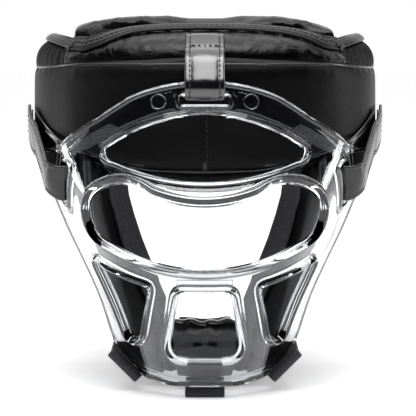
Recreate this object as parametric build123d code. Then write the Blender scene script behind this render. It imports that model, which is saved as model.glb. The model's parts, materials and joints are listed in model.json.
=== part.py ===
"""Boxing headgear: padded head guard with a pull-off clear face mask held by hook-and-loop straps.

Millimetres, +Z up, the face looks along -Y, and the wearer's left is +X. The guard stands on z = 0.
"""

import os
from math import atan2, cos, degrees, radians, sin

from build123d import *

# Head guard, seen in plan as superellipses round the head
plan_power = 2.4
band_half_width = 116
band_half_depth = 125
band_thickness = 28
band_edge_bevel = 7
band_top_middle = 214.5
band_top_side = 206
brow_low_middle = 139.5
brow_low_side = 156.5
brow_low_half_width = 90
rear_low = 118
leather = 2.5
lining = 2
fit = 0.3

# Crown dome over the band
dome_base = 202
dome_rise = 34
dome_half_width = 112
dome_half_depth = 104
dome_power = 3.5
panel_thickness = 5
rear_crown_thickness = 18
front_panel_back = -78
rear_crown_front = -28
side_panel_inner = 88
binding_width = 5
binding_proud = 1.2

# Clear mask: outer half width and half depth at each height
mask_levels = [
    (4, 56, 127),
    (30, 64.5, 140),
    (56, 72.5, 151),
    (80, 83, 158),
    (101, 93, 161),
    (121, 101.5, 160),
    (138, 108.5, 151),
    (155, 114, 140.5),
    (175, 119, 136),
    (203, 121, 134.2),
]
mask_thickness = 4
rim_low = 7

# Straps
strap_width = 25
strap_thickness = 2.5
patch_thickness = 1
brow_bar = (-133, 195.2)
brow_loop_inner = 5.2
temple_bar = (91.7, -88.5, 136)
temple_bar_half_width = 4.2
temple_lean = 24
temple_loop_inner = 7.5
chin_roll_radius = 3.2
rear_strap_height = 38

far = 400


def plan_point(half_width, half_depth, turn):
    """Point on a superellipse in plan; a turn of 0 is the front and 90 the wearer's left."""
    across, along = sin(radians(turn)), cos(radians(turn))
    x = half_width * abs(across) ** (2 / plan_power)
    y = half_depth * abs(along) ** (2 / plan_power)
    return (x if across >= 0 else -x, -y if along >= 0 else y)


def plan_curve(half_width, half_depth, start, end, height):
    steps = max(4, round((end - start) / 9))
    turns = [start + (end - start) * i / steps for i in range(steps + 1)]
    return [Vector(*plan_point(half_width, half_depth, turn), height) for turn in turns]


def wall(levels, near, deep, trim=0):
    """Curved wall through levels of (height, half width, half depth, start, end).

    It lies between the depths near and deep, measured inwards from the outer surface.
    """
    sections = []
    for height, half_width, half_depth, start, end in levels:
        ends = (start + trim, end - trim, height)
        outside = plan_curve(half_width - near, half_depth - near, *ends)
        inside = plan_curve(half_width - deep, half_depth - deep, *ends)
        edges = [
            Spline(*outside),
            Line(outside[-1], inside[-1]),
            Spline(*reversed(inside)),
            Line(inside[0], outside[0]),
        ]
        sections.append(Face(Wire(edges)))
    return loft(sections, ruled=True)


def across_prism(*edges):
    """Solid with the given outline in X and Z, running through the whole depth."""
    return extrude(Plane.XZ * make_face(Curve() + list(edges)), amount=far, both=True)


def side_prism(*points):
    """Solid with the given outline in Y and Z, running through the whole width."""
    return extrude(Plane.YZ * make_face(Polyline(*points, close=True)), amount=far, both=True)


def box_between(low, high):
    middle = [(a + b) / 2 for a, b in zip(low, high)]
    return Pos(*middle) * Box(*[b - a for a, b in zip(low, high)])


def mirrored(shape):
    return mirror(shape, about=Plane.YZ)


def save(name, shape):
    solids = [solid for solid in shape.solids() if solid.volume > 1]
    shape = solids[0] if len(solids) == 1 else Compound(solids)
    shape.label = name
    export_step(shape, f"parts/{name}.step")


def save_pair(name, left_shape):
    save("left_" + name, left_shape)
    save("right_" + name, mirrored(left_shape))


def top_arc(lift):
    """Region under the band's crowned top edge, moved up by lift."""
    side, middle = band_top_side + lift, band_top_middle + lift
    wide = band_half_width + 10
    return across_prism(
        ThreePointArc((-wide, side), (0, middle), (wide, side)),
        Polyline((wide, side), (wide, -far), (-wide, -far), (-wide, side)),
    )


def under_brow(lift):
    """Region under the forehead pad's lower edge, which dips at the middle, moved up by lift."""
    side, middle, reach = brow_low_side + lift, brow_low_middle + lift, brow_low_half_width
    return across_prism(
        ThreePointArc((-reach, side), (0, middle), (reach, side)),
        Polyline((reach, side), (far, side), (far, -far), (-far, -far), (-far, side), (-reach, side)),
    )


def pad_layers(levels, thickness, zone):
    """Leather cover open towards the head, the foam that fills it and the lining that closes it."""
    end_trim = 1.6
    foam_trim = 1.9
    foam_deep = thickness - lining - fit
    hollow = wall(levels, leather, thickness + 1, end_trim) & zone(leather)
    cover = (wall(levels, 0, foam_deep) & zone(0)) - hollow
    foam = wall(levels, leather + fit, foam_deep, foam_trim) & zone(leather + fit)
    inside = wall(levels, thickness - lining, thickness) & zone(0)
    return {"cover": cover, "foam": foam, "lining": inside}


# --- Pads of the guard ---
def forehead_pad():
    start, end = -96, 96
    low, high = brow_low_middle - 5, band_top_middle + 5
    bevel, wide, deep = band_edge_bevel, band_half_width, band_half_depth
    levels = [
        (low, wide - bevel, deep - bevel, start, end),
        (brow_low_middle, wide - bevel, deep - bevel, start, end),
        (brow_low_middle + bevel, wide, deep, start, end),
        (band_top_middle - bevel, wide, deep, start, end),
        (band_top_middle, wide - bevel, deep - bevel, start, end),
        (high, wide - bevel, deep - bevel, start, end),
    ]
    layers = pad_layers(levels, band_thickness, lambda inset: top_arc(-inset) - under_brow(inset))
    for layer, shape in layers.items():
        save("forehead_" + layer, shape)


def rear_pads():
    start, end, thickness = 98, 172, 25
    low, high = rear_low, band_top_side
    levels = [(z, band_half_width, band_half_depth, start, end) for z in (low, high)]
    zone = lambda inset: box_between((-far, -far, low + inset), (far, far, high - inset))
    for layer, shape in pad_layers(levels, thickness, zone).items():
        save_pair("rear_" + layer, shape)


# Outer half width and half depth of the face and ear pads at each height
face_levels = [
    (0, 38, 96),
    (20, 57, 107),
    (50, 64, 113),
    (75, 73, 117),
    (97, 81, 119),
    (112, 86, 120),
    (125, 90, 120.5),
    (165, 94, 121.5),
]
cheek_front_turn = [24, 22, 22, 29, 34, 36, 37, 39]
cheek_rear_turn = 61
ear_front_turn = 63
ear_rear_turn = 112
face_thickness = 20
cheek_low = 9
ear_hole_middle = (8, 102)
ear_hole_size = (34, 24)
seam_gap = 1.5


def cheek_pads():
    levels = [
        (height, wide, deep, front, cheek_rear_turn)
        for (height, wide, deep), front in zip(face_levels, cheek_front_turn)
    ]

    def zone(inset):
        above = box_between((-far, -far, cheek_low + inset), (far, far, far))
        return under_brow(-seam_gap - inset) & above

    for layer, shape in pad_layers(levels, face_thickness, zone).items():
        save_pair("cheek_" + layer, shape)


def ear_pads():
    levels = [(z, wide, deep, ear_front_turn, ear_rear_turn) for z, wide, deep in face_levels]
    foot_back, slope_back, slope_top = 12, 48, 72
    neck_half_width, neck_high = 27, 34

    def zone(inset):
        hole = SlotOverall(ear_hole_size[0] + 2 * inset, ear_hole_size[1] + 2 * inset)
        hole = extrude(Plane.YZ * Pos(*ear_hole_middle) * hole, amount=far, both=True)
        foot = side_prism(
            (-far, inset),
            (foot_back - inset, inset),
            (slope_back - inset, slope_top + inset),
            (far, slope_top + inset),
            (far, far),
            (-far, far),
        )
        rear_room = box_between((-far, 15 - inset, rear_low - seam_gap - inset), (far, far, far))
        neck = neck_half_width + inset
        neck_room = box_between((-neck, -far, -far), (neck, far, neck_high))
        return (under_brow(-seam_gap - inset) & foot) - hole - rear_room - neck_room

    for layer, shape in pad_layers(levels, face_thickness, zone).items():
        save_pair("ear_" + layer, shape)


chin_low = 7
chin_high = 45


def chin_pad():
    turn = 19.5
    levels = [(z, wide, deep, -turn, turn) for z, wide, deep in face_levels[:4]]
    zone = lambda inset: box_between((-far, -far, chin_low + inset), (far, far, chin_high - inset))
    for layer, shape in pad_layers(levels, face_thickness, zone).items():
        save("chin_" + layer, shape)


# --- Crown ---
def dome(depth):
    """Crown dome as a solid, its surface moved inwards by depth."""
    sections = []
    for share in (0, 0.3, 0.55, 0.75, 0.88, 0.96, 0.985):
        scale = (1 - share**dome_power) ** (1 / dome_power)
        half_width = dome_half_width * scale - depth
        half_depth = dome_half_depth * scale - depth
        turns = [15 * i for i in range(24)]
        height = dome_base + dome_rise * share - depth
        points = [Vector(*plan_point(half_width, half_depth, turn), height) for turn in turns]
        sections.append(Face(Wire([Spline(*points, periodic=True)])))
    return loft(sections, ruled=True)


def crown():
    above_band = box_between((-far, -far, dome_base - 40), (far, far, far)) - top_arc(fit)
    skin = (dome(0) - dome(panel_thickness)) & above_band
    front_zone = box_between((-84, -far, 0), (84, front_panel_back, far))
    save("crown_front_panel", skin & front_zone)
    under = (dome(panel_thickness + fit) - dome(panel_thickness + fit + lining)) & above_band
    save("crown_front_lining", under & front_zone)
    edge_start = front_panel_back + fit
    edge_zone = box_between((-84, edge_start, 0), (84, edge_start + binding_width, far))
    edge = dome(-binding_proud) - dome(panel_thickness + binding_proud)
    save("crown_front_binding", edge & above_band & edge_zone)
    side_zone = box_between((side_panel_inner, -64, 0), (far, 72, far))
    save_pair("crown_side_panel", skin & side_zone)
    forehead_top = top_arc(fit) & box_between((-far, -far, 0), (far, 27, far))

    def rear_zone(inset):
        reach = side_panel_inner - 2 - inset
        low = (-reach, rear_crown_front + inset, band_top_side + fit + inset)
        return box_between(low, (reach, far, far)) - Pos(0, 0, inset) * forehead_top

    foam_deep = rear_crown_thickness - lining - fit
    hollow = (dome(leather) - dome(rear_crown_thickness + 1)) & rear_zone(leather)
    save("crown_rear_cover", ((dome(0) - dome(foam_deep)) & rear_zone(0)) - hollow)
    save("crown_rear_foam", (dome(leather + fit) - dome(foam_deep)) & rear_zone(leather + fit))
    lining_start = rear_crown_thickness - lining
    save("crown_rear_lining", (dome(lining_start) - dome(rear_crown_thickness)) & rear_zone(0))


# --- Clear mask ---
def mask_blank():
    end_turn = 88
    levels = [(z, wide, deep, -end_turn, end_turn) for z, wide, deep in mask_levels]
    return wall(levels, 0, mask_thickness)


def both_sides(outline):
    return outline + mirror(outline, about=Plane.YZ)


def mask():
    front_outline = across_prism(
        Polyline((-64, 28.5), (-57, 24), (-38, 10), (-22, rim_low), (22, rim_low), (38, 10), (57, 24)),
        Polyline((57, 24), (64, 28.5), (far, 28.5), (far, 154), (97, 155), (89, 162), (66, 177), (46, 190)),
        ThreePointArc((46, 190), (0, 199.2), (-46, 190)),
        Polyline((-46, 190), (-66, 177), (-89, 162), (-97, 155), (-far, 154), (-far, 28.5), (-64, 28.5)),
    )
    rear_cut = side_prism((-far, -far), (-72, -far), (-62, 30), (-50, 90), (-50, 122), (-84, 160), (-far, 160))
    rear_cut += side_prism((-far, 150), (-84, 150), (-84, 230), (-far, 230))
    eye = across_prism(
        ThreePointArc((-34, 131), (0, 124.5), (34, 131)),
        ThreePointArc((34, 131), (55, 137), (72, 127)),
        ThreePointArc((72, 127), (72, 108), (60, 98)),
        ThreePointArc((60, 98), (0, 84), (-60, 98)),
        ThreePointArc((-60, 98), (-72, 108), (-72, 127)),
        ThreePointArc((-72, 127), (-55, 137), (-34, 131)),
    )
    lens = across_prism(
        ThreePointArc((-60, 160), (0, 179), (60, 160)),
        ThreePointArc((60, 160), (64, 154), (58, 150)),
        ThreePointArc((58, 150), (0, 138.3), (-58, 150)),
        ThreePointArc((-58, 150), (-64, 154), (-60, 160)),
    )
    mouth = across_prism(
        Polyline((-17, 70), (17, 70), (22.5, 36)),
        ThreePointArc((22.5, 36), (19.5, 28), (12, 25.5)),
        Line((12, 25.5), (-12, 25.5)),
        ThreePointArc((-12, 25.5), (-19.5, 28), (-22.5, 36)),
        Line((-22.5, 36), (-17, 70)),
    )
    side = across_prism(
        ThreePointArc((66, 82.5), (50, 75.5), (35, 72)),
        Line((35, 72), (40, 41)),
        ThreePointArc((40, 41), (43.5, 36.5), (48, 40)),
        Line((48, 40), (66, 82.5)),
    )
    brow_slot = across_prism(Polyline((-16, 184.4), (16, 184.4), (16, 191.2), (-16, 191.2), close=True))
    bar = temple_bar_half_width
    temple_frame = Pos(*temple_bar) * Rot(temple_lean, 0, 0)
    temple_slot = temple_frame * box_between((-14, -bar - 8.5, -15), (14, -bar, 15.5))
    behind_bar = temple_frame * box_between((-14, bar, -14.5), (far, far, far))
    shell = (mask_blank() & front_outline & rear_cut) - eye - lens - mouth - brow_slot
    shell = shell - both_sides(side) - both_sides(temple_slot) - both_sides(behind_bar)
    save("mask_shell", shell)
    # A plain raised bar over the mouth opening, proud of the shell's outer surface
    proud = 1.1
    skin = [(z, wide + proud, deep + proud, -40, 40) for z, wide, deep in mask_levels]
    save("mask_front_bar", wall(skin, 0, proud - 0.1) & box_between((-18, -far, 73.5), (18, 0, 78.5)))


# --- Straps ---
def ribbon(points, thickness):
    """Flat strap seen edge on: round-ended lengths joined from point to point."""
    outline = Sketch()
    for (x0, y0), (x1, y1) in zip(points, points[1:]):
        middle = Pos((x0 + x1) / 2, (y0 + y1) / 2)
        run = Vector(x1 - x0, y1 - y0)
        turn = degrees(atan2(run.Y, run.X))
        outline += middle * Rot(0, 0, turn) * SlotCenterToCenter(run.length, thickness)
    return outline


def loop_ring(middle, inner):
    return Pos(*middle) * (Circle(inner + strap_thickness) - Circle(inner))


def across_width(outline, width, plane=Plane.YZ):
    return extrude(plane * outline, amount=width / 2, both=True)


def brow_strap():
    y, z = brow_bar
    start = (y - 6.2, z + 1.5)
    tail = [start, (-135.5, 205), (-125.5, 218.6), (-108, 219.4), (-98, 229)]
    outline = loop_ring(brow_bar, brow_loop_inner) + ribbon(tail, strap_thickness)
    save("brow_strap", across_width(outline, strap_width))
    # The patches lie flat on the band's top, one under the strap and one under that
    for name, low in (("brow_loop_patch", 214.9), ("brow_hook_patch", 216.1)):
        save(name, box_between((-11, -117, low), (11, -106, low + 0.9)))


def round_band(offset, thickness, start, end, low, high):
    """Layer of the given thickness that hugs the band's outside, its inner face offset from it."""
    proud = offset + thickness
    levels = [(z, band_half_width + proud, band_half_depth + proud, start, end) for z in (low, high)]
    return wall(levels, 0, thickness)


temple_middle = 139
temple_rise = 31
temple_front_y = -82
temple_end_y = -12


def temple_zone(height, start_y, end_y):
    """Band of the given height that rises backwards with the temple strap."""
    slope = temple_rise / (temple_end_y - temple_front_y)
    stops = [(start_y, 0)] if start_y < temple_front_y else []
    stops += [(y, slope * (y - temple_front_y)) for y in (max(start_y, temple_front_y), end_y)]
    low = [(y, temple_middle - height / 2 + rise) for y, rise in stops]
    high = [(y, temple_middle + height / 2 + rise) for y, rise in stops]
    return side_prism(*low, *reversed(high))


def temple_straps():
    """Leather straps looped round the mask's temple bars and laid back on the band."""
    place = Pos(*temple_bar) * Rot(temple_lean, 0, 0)
    ring = extrude(loop_ring((0, 0), temple_loop_inner), amount=strap_width / 2, both=True)
    tail = round_band(2.5, strap_thickness, 54, 88, 100, 200)
    bore = place * Cylinder(temple_loop_inner, far)
    tail = (tail & temple_zone(strap_width, -88, temple_end_y)) - bore
    save_pair("temple_strap", place * ring + tail)
    above_brow = box_between((0, -far, brow_low_side + 1), (far, far, far))
    for name, offset in (("temple_loop_patch", 0.3), ("temple_hook_patch", 1.4)):
        patch = round_band(offset, 0.9, 66, 88, 140, 190)
        save_pair(name, patch & temple_zone(18, -48, -16) & above_brow)


def chin_straps():
    """Webbing straps that leave the rim in a folded end and run back under the pads."""
    roll = Circle(chin_roll_radius)
    lift = chin_roll_radius
    tail = ribbon([(0, 0.1), (44, 0.1)], strap_thickness - 0.3)
    middle = Pos(-127, lift) * (roll + tail)
    save("chin_strap", across_width(middle, strap_width))
    save("chin_hook_patch", box_between((-10, -106, lift + 1.4), (10, -86, lift + 2.3)))
    save("chin_loop_patch", box_between((-10, -106, lift + 2.5), (10, -86, chin_low - 0.1)))
    # The side straps lie at 45 degrees against the lower corners of the ear and cheek pads
    slope = Pos(53.5, 0, 12.5) * Rot(0, -45, 0)
    side_tail = ribbon([(0, 0), (78, 0)], strap_thickness - 0.3)
    side = Pos(-103, 0) * (roll + side_tail)
    save_pair("jaw_strap", slope * across_width(side, strap_width))
    save_pair("jaw_hook_patch", slope * box_between((-8, -50, 1.2), (8, -28, 2.0)))
    levels = [(z, wide + 1, deep + 1, ear_front_turn, 85) for z, wide, deep in face_levels[:2]]
    loop_zone = box_between((0, -50, 4), (far, -28, 17))
    save_pair("jaw_loop_patch", wall(levels, 0, 0.7) & loop_zone)


def rear_strap():
    """Closing strap across the gap between the rear pads."""
    low, high = 126, 126 + rear_strap_height
    save("rear_strap", round_band(2.6, strap_thickness, 164, 200, low, high))
    for name, offset in (("rear_loop_patch", 0.3), ("rear_hook_patch", 1.5)):
        save(name, round_band(offset, 0.9, 189.5, 198.5, low + 4, high - 4))


def top_strap():
    top = dome_base + dome_rise * 0.985
    path = [(-70, 231), (-50, 237.2), (-27, top + 4.1), (12, top + 4.1)]
    save("top_strap", across_width(ribbon(path, strap_thickness), strap_width))
    for name, low in (("top_loop_patch", top + 0.2), ("top_hook_patch", top + 1.4)):
        save(name, box_between((-10.5, -16, low), (10.5, 10, low + 1)))


os.makedirs("parts", exist_ok=True)
forehead_pad()
rear_pads()
cheek_pads()
ear_pads()
chin_pad()
crown()
mask()
brow_strap()
temple_straps()
chin_straps()
rear_strap()
top_strap()
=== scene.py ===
import bmesh
import bpy
import json
import math
import numpy as np
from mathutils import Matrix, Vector
from mathutils.bvhtree import BVHTree
from mathutils.geometry import delaunay_2d_cdt
from mathutils.kdtree import KDTree

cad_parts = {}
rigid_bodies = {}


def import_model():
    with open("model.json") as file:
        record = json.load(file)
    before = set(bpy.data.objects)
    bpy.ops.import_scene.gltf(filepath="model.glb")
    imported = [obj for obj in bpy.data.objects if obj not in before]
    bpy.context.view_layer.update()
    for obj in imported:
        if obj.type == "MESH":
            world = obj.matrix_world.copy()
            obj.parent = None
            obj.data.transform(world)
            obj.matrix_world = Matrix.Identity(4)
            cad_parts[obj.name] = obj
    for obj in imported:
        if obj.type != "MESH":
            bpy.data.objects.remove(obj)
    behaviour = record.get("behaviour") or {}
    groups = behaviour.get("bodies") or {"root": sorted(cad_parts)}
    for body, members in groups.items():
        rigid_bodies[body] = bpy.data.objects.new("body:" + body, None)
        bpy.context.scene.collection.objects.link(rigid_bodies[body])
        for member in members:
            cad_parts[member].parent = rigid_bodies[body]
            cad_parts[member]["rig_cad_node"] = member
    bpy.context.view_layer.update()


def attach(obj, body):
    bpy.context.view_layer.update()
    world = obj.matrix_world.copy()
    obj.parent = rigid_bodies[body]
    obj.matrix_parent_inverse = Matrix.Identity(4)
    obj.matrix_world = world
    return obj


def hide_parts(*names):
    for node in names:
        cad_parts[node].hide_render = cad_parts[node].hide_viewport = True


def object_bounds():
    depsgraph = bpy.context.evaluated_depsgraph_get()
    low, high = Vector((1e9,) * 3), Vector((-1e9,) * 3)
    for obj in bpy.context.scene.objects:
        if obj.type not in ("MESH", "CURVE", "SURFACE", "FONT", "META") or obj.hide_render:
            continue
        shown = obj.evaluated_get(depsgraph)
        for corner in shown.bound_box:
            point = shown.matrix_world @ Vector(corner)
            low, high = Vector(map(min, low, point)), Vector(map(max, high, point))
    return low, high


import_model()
mm = 0.001
scene = bpy.context.scene


def toLinear(hexColour):
    channels = [int(hexColour[i:i + 2], 16) / 255 for i in (1, 3, 5)]
    return tuple(c / 12.92 if c <= 0.04045 else ((c + 0.055) / 1.055) ** 2.4 for c in channels) + (1.0,)


def addNode(tree, kind, settings=None, links=None):
    # a "ramp" setting is a list of (position, colour), and a link from a node takes its first output
    node = tree.nodes.new(kind)
    for name, value in (settings or {}).items():
        if name == "ramp":
            for element, (position, colour) in zip(node.color_ramp.elements, value):
                element.position, element.color = position, colour
        elif isinstance(name, int) or name in node.inputs.keys():
            node.inputs[name].default_value = value
        else:
            setattr(node, name, value)
    for name, source in (links or {}).items():
        tree.links.new(source.outputs[0] if isinstance(source, bpy.types.Node) else source, node.inputs[name])
    return node


def newMaterial(name):
    material = bpy.data.materials.new(name)
    material.use_nodes = True
    tree = material.node_tree
    tree.nodes.clear()
    return material, tree, addNode(tree, "ShaderNodeTexCoord").outputs["Object"]


def clamp(value):
    return min(1, max(0, value))


def addObject(name, data):
    piece = bpy.data.objects.new(name, data)
    scene.collection.objects.link(piece)
    return piece


def declare(piece, body, node=None):
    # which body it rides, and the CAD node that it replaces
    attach(piece, body)
    if node:
        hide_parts(node)
    return piece


def addPiece(name, verts, faces, material, body, node=None):
    mesh = bpy.data.meshes.new(name)
    mesh.from_pydata([tuple(v) for v in verts], [], faces)
    mesh.validate()
    for polygon in mesh.polygons:
        polygon.use_smooth = True
    mesh.materials.append(material)
    return declare(addObject(name, mesh), body, node)


def bakeModifiers(piece):
    bpy.context.view_layer.update()
    view = bpy.context.evaluated_depsgraph_get()
    mesh = bpy.data.meshes.new_from_object(piece.evaluated_get(view))
    piece.modifiers.clear()
    old = piece.data
    piece.data = mesh
    bpy.data.meshes.remove(old)
    for polygon in mesh.polygons:
        polygon.use_smooth = True


def solidify(piece, thickness, offset=-1):
    thick = piece.modifiers.new("Solidify", "SOLIDIFY")
    thick.thickness = thickness * mm
    thick.offset = offset


def subdivide(piece):
    finer = piece.modifiers.new("Subdivision", "SUBSURF")
    finer.levels = 1
    finer.render_levels = 1
    bakeModifiers(piece)


def outwardFaces(piece):
    tidy = bmesh.new()
    tidy.from_mesh(piece.data)
    bmesh.ops.recalc_face_normals(tidy, faces=tidy.faces)
    tidy.to_mesh(piece.data)
    tidy.free()


def surfaceTree(mesh):
    return BVHTree.FromPolygons([v.co for v in mesh.vertices], [p.vertices[:] for p in mesh.polygons])


def readPoints(mesh):
    flat = np.empty(len(mesh.vertices) * 3)
    mesh.vertices.foreach_get("co", flat)
    return flat.reshape(-1, 3)


def writePoints(mesh, points):
    mesh.vertices.foreach_set("co", np.asarray(points, float).ravel())
    mesh.update()


def evenPath(points, step, closed=False):
    # points at even spacing along a smooth curve through the given ones
    p = [Vector(q) for q in points]
    n = len(p)
    fine = []
    for i in range(n if closed else n - 1):
        p1, p2 = p[i], p[(i + 1) % n]
        p0 = p[i - 1] if closed or i > 0 else p1 * 2 - p2
        p3 = p[(i + 2) % n] if closed or i + 2 < n else p2 * 2 - p1
        for k in range(12):
            t = k / 12
            fine.append(0.5 * (2 * p1 + (p2 - p0) * t + (2 * p0 - 5 * p1 + 4 * p2 - p3) * t * t
                               + (3 * p1 - p0 - 3 * p2 + p3) * t ** 3))
    fine.append(p[0].copy() if closed else p[-1])
    along = [0.0]
    for a, b in zip(fine, fine[1:]):
        along.append(along[-1] + (b - a).length)
    count = max(2, round(along[-1] / step))
    stops = np.linspace(0, along[-1], count + 1)
    if closed:
        stops = stops[:-1]
    columns = [np.interp(stops, along, [q[i] for q in fine]) for i in range(len(fine[0]))]
    return [Vector(q) for q in zip(*columns)]


def planPoint(halfWidth, halfDepth, turn, power=2.4):
    across, forward = math.sin(math.radians(turn)), math.cos(math.radians(turn))
    x = halfWidth * abs(across) ** (2 / power)
    y = halfDepth * abs(forward) ** (2 / power)
    return (math.copysign(x, across), math.copysign(y, -forward))


def bandPoint(turn, offset):
    # on the band's outside in plan, some millimetres off its leather
    return planPoint(116 + offset, 125 + offset, turn)


matteLeather = dict(colour="#040405", worn="#0a0a0b", roughness=(0.36, 0.48), grain=2.3, wrinkle=30,
                    grainBump=0.16, wrinkleBump=0.3, gloss=0.11, coat=0.0)
smoothLeather = dict(colour="#060607", worn="#101012", roughness=(0.13, 0.24), grain=1.8, wrinkle=22,
                     grainBump=0.06, wrinkleBump=0.16, gloss=0.6, coat=0.0)
patentLeather = dict(colour="#070708", worn="#121214", roughness=(0.1, 0.2), grain=1.8, wrinkle=20,
                     grainBump=0.05, wrinkleBump=0.15, gloss=1.0, coat=0.6)
crownLeather = dict(colour="#040405", worn="#0b0b0d", roughness=(0.16, 0.28), grain=2.0, wrinkle=13,
                    grainBump=0.1, wrinkleBump=0.7, gloss=0.32, coat=0.0)
pipingLeather = dict(colour="#08080a", worn="#141416", roughness=(0.28, 0.4), grain=1.8, wrinkle=12,
                     grainBump=0.1, wrinkleBump=0.3, gloss=0.4, coat=0.0)


def embossedPuLeather(name, look):
    # polyurethane-coated cloth with an embossed grain: nearly black, a soft broken sheen on every curve
    # the real grain is about 0.8 mm and is drawn about 2 mm wide, so that it still shows
    material, tree, place = newMaterial(name)
    cells = addNode(tree, "ShaderNodeTexVoronoi",
                    {"feature": "DISTANCE_TO_EDGE", "Scale": 1000 / look["grain"]}, {"Vector": place})
    valleys = addNode(tree, "ShaderNodeMapRange", {"From Max": 0.14}, {"Value": cells})
    folds = addNode(tree, "ShaderNodeTexNoise",
                    {"Scale": 1000 / look["wrinkle"], "Detail": 6, "Roughness": 0.62, "Distortion": 0.9},
                    {"Vector": place})
    rub = addNode(tree, "ShaderNodeTexNoise", {"Scale": 1000 / 55, "Detail": 3}, {"Vector": place})
    rubbed = addNode(tree, "ShaderNodeMapRange",
                     {"From Min": 0.35, "From Max": 0.7, "To Min": look["roughness"][0],
                      "To Max": look["roughness"][1]}, {"Value": rub})
    tint = addNode(tree, "ShaderNodeValToRGB",
                   {"ramp": [(0.4, toLinear(look["colour"])), (0.72, toLinear(look["worn"]))]}, {"Fac": rub})
    deep = addNode(tree, "ShaderNodeBump", {"Strength": look["wrinkleBump"], "Distance": 0.0016},
                   {"Height": folds})
    fine = addNode(tree, "ShaderNodeBump", {"Strength": look["grainBump"], "Distance": 0.0004},
                   {"Height": valleys, "Normal": deep})
    shader = addNode(tree, "ShaderNodeBsdfPrincipled",
                     {"IOR": 1.48, "Specular IOR Level": look["gloss"],
                      "Coat Weight": look["coat"], "Coat Roughness": 0.08},
                     {"Base Color": tint, "Roughness": rubbed,
                      "Normal": fine})
    addNode(tree, "ShaderNodeOutputMaterial", {}, {"Surface": shader})
    return material


clearSheet = dict(colour="#eef0f3", ior=1.58, flow=26, haze=(0.0, 0.012))


def mouldedPolycarbonate(name, look):
    # injection-moulded clear polycarbonate: sharp highlights, faint flow waves and a trace of haze
    material, tree, place = newMaterial(name)
    flow = addNode(tree, "ShaderNodeTexNoise",
                   {"Scale": 1000 / look["flow"], "Detail": 2, "Roughness": 0.4, "Distortion": 0.4},
                   {"Vector": place})
    wave = addNode(tree, "ShaderNodeBump", {"Strength": 0.12, "Distance": 0.0012},
                   {"Height": flow})
    haze = addNode(tree, "ShaderNodeTexNoise", {"Scale": 1000 / 9, "Detail": 4}, {"Vector": place})
    hazed = addNode(tree, "ShaderNodeMapRange",
                    {"From Min": 0.45, "From Max": 0.8, "To Min": look["haze"][0], "To Max": look["haze"][1]},
                    {"Value": haze})
    shader = addNode(tree, "ShaderNodeBsdfPrincipled",
                     {"Base Color": toLinear(look["colour"]), "IOR": look["ior"], "Transmission Weight": 1.0},
                     {"Roughness": hazed, "Normal": wave})
    addNode(tree, "ShaderNodeOutputMaterial", {}, {"Surface": shader})
    return material


webbingLook = dict(colour="#0e0e0f", light="#26262a", rib=2.4)


def wovenWebbing(name, look):
    # flat polypropylene webbing: ribs across the weave and a dull sheen
    # the real ribs are 1.2 mm apart and are drawn twice as wide, so that they still show
    material, tree, place = newMaterial(name)
    ribs = addNode(tree, "ShaderNodeTexWave",
                   {"wave_type": "BANDS", "bands_direction": "Y", "Scale": 1000 / look["rib"] / 20 * math.pi,
                    "Distortion": 0.6, "Detail": 1}, {"Vector": place})
    fuzz = addNode(tree, "ShaderNodeTexNoise", {"Scale": 1000 / 0.9, "Detail": 2}, {"Vector": place})
    weave = addNode(tree, "ShaderNodeMath", {"operation": "MULTIPLY_ADD", 1: 0.7},
                    {0: ribs.outputs["Fac"], 2: fuzz})
    tint = addNode(tree, "ShaderNodeValToRGB",
                   {"ramp": [(0.35, toLinear(look["colour"])), (1, toLinear(look["light"]))]}, {"Fac": weave})
    lift = addNode(tree, "ShaderNodeBump", {"Strength": 0.6, "Distance": 0.0006},
                   {"Height": weave})
    shader = addNode(tree, "ShaderNodeBsdfPrincipled",
                     {"Roughness": 0.68, "IOR": 1.5, "Sheen Weight": 0.12, "Sheen Roughness": 0.4},
                     {"Base Color": tint, "Normal": lift})
    addNode(tree, "ShaderNodeOutputMaterial", {}, {"Surface": shader})
    return material


knitLook = dict(colour="#040405", light="#0c0c0e", stitch=2.6, roughness=0.62, bump=0.4, sheen=0.0, gloss=0.12)
creamLook = dict(colour="#b9b2a2", light="#d9d3c5", stitch=1.8, roughness=0.82, bump=0.3, sheen=0.15, gloss=0.4)
loopLook = dict(colour="#0c0c0d", light="#232326", stitch=1.3, roughness=0.92, bump=0.9, sheen=0.15, gloss=0.4)


def knittedLining(name, look):
    # knitted polyester: small soft cells, dull, slightly lighter on the raised threads
    material, tree, place = newMaterial(name)
    cells = addNode(tree, "ShaderNodeTexVoronoi", {"Scale": 1000 / look["stitch"], "Randomness": 0.45},
                    {"Vector": place})
    patches = addNode(tree, "ShaderNodeTexNoise", {"Scale": 1000 / 40, "Detail": 3}, {"Vector": place})
    mixed = addNode(tree, "ShaderNodeMath", {"operation": "MULTIPLY_ADD", 1: 0.4},
                    {0: patches, 2: cells})
    tint = addNode(tree, "ShaderNodeValToRGB",
                   {"ramp": [(0, toLinear(look["light"])), (1, toLinear(look["colour"]))]}, {"Fac": mixed})
    lift = addNode(tree, "ShaderNodeBump", {"Strength": look["bump"], "Distance": 0.0007, "invert": True},
                   {"Height": cells})
    shader = addNode(tree, "ShaderNodeBsdfPrincipled",
                     {"Roughness": look["roughness"], "IOR": 1.5, "Specular IOR Level": look["gloss"],
                      "Sheen Weight": look["sheen"], "Sheen Roughness": 0.45},
                     {"Base Color": tint, "Normal": lift})
    addNode(tree, "ShaderNodeOutputMaterial", {}, {"Surface": shader})
    return material


foamLook = dict(colour="#4b4b4e", pore="#333336", cell=1.6)
hookLook = dict(colour="#121213", pore="#2a2a2d", cell=1.4)


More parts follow.
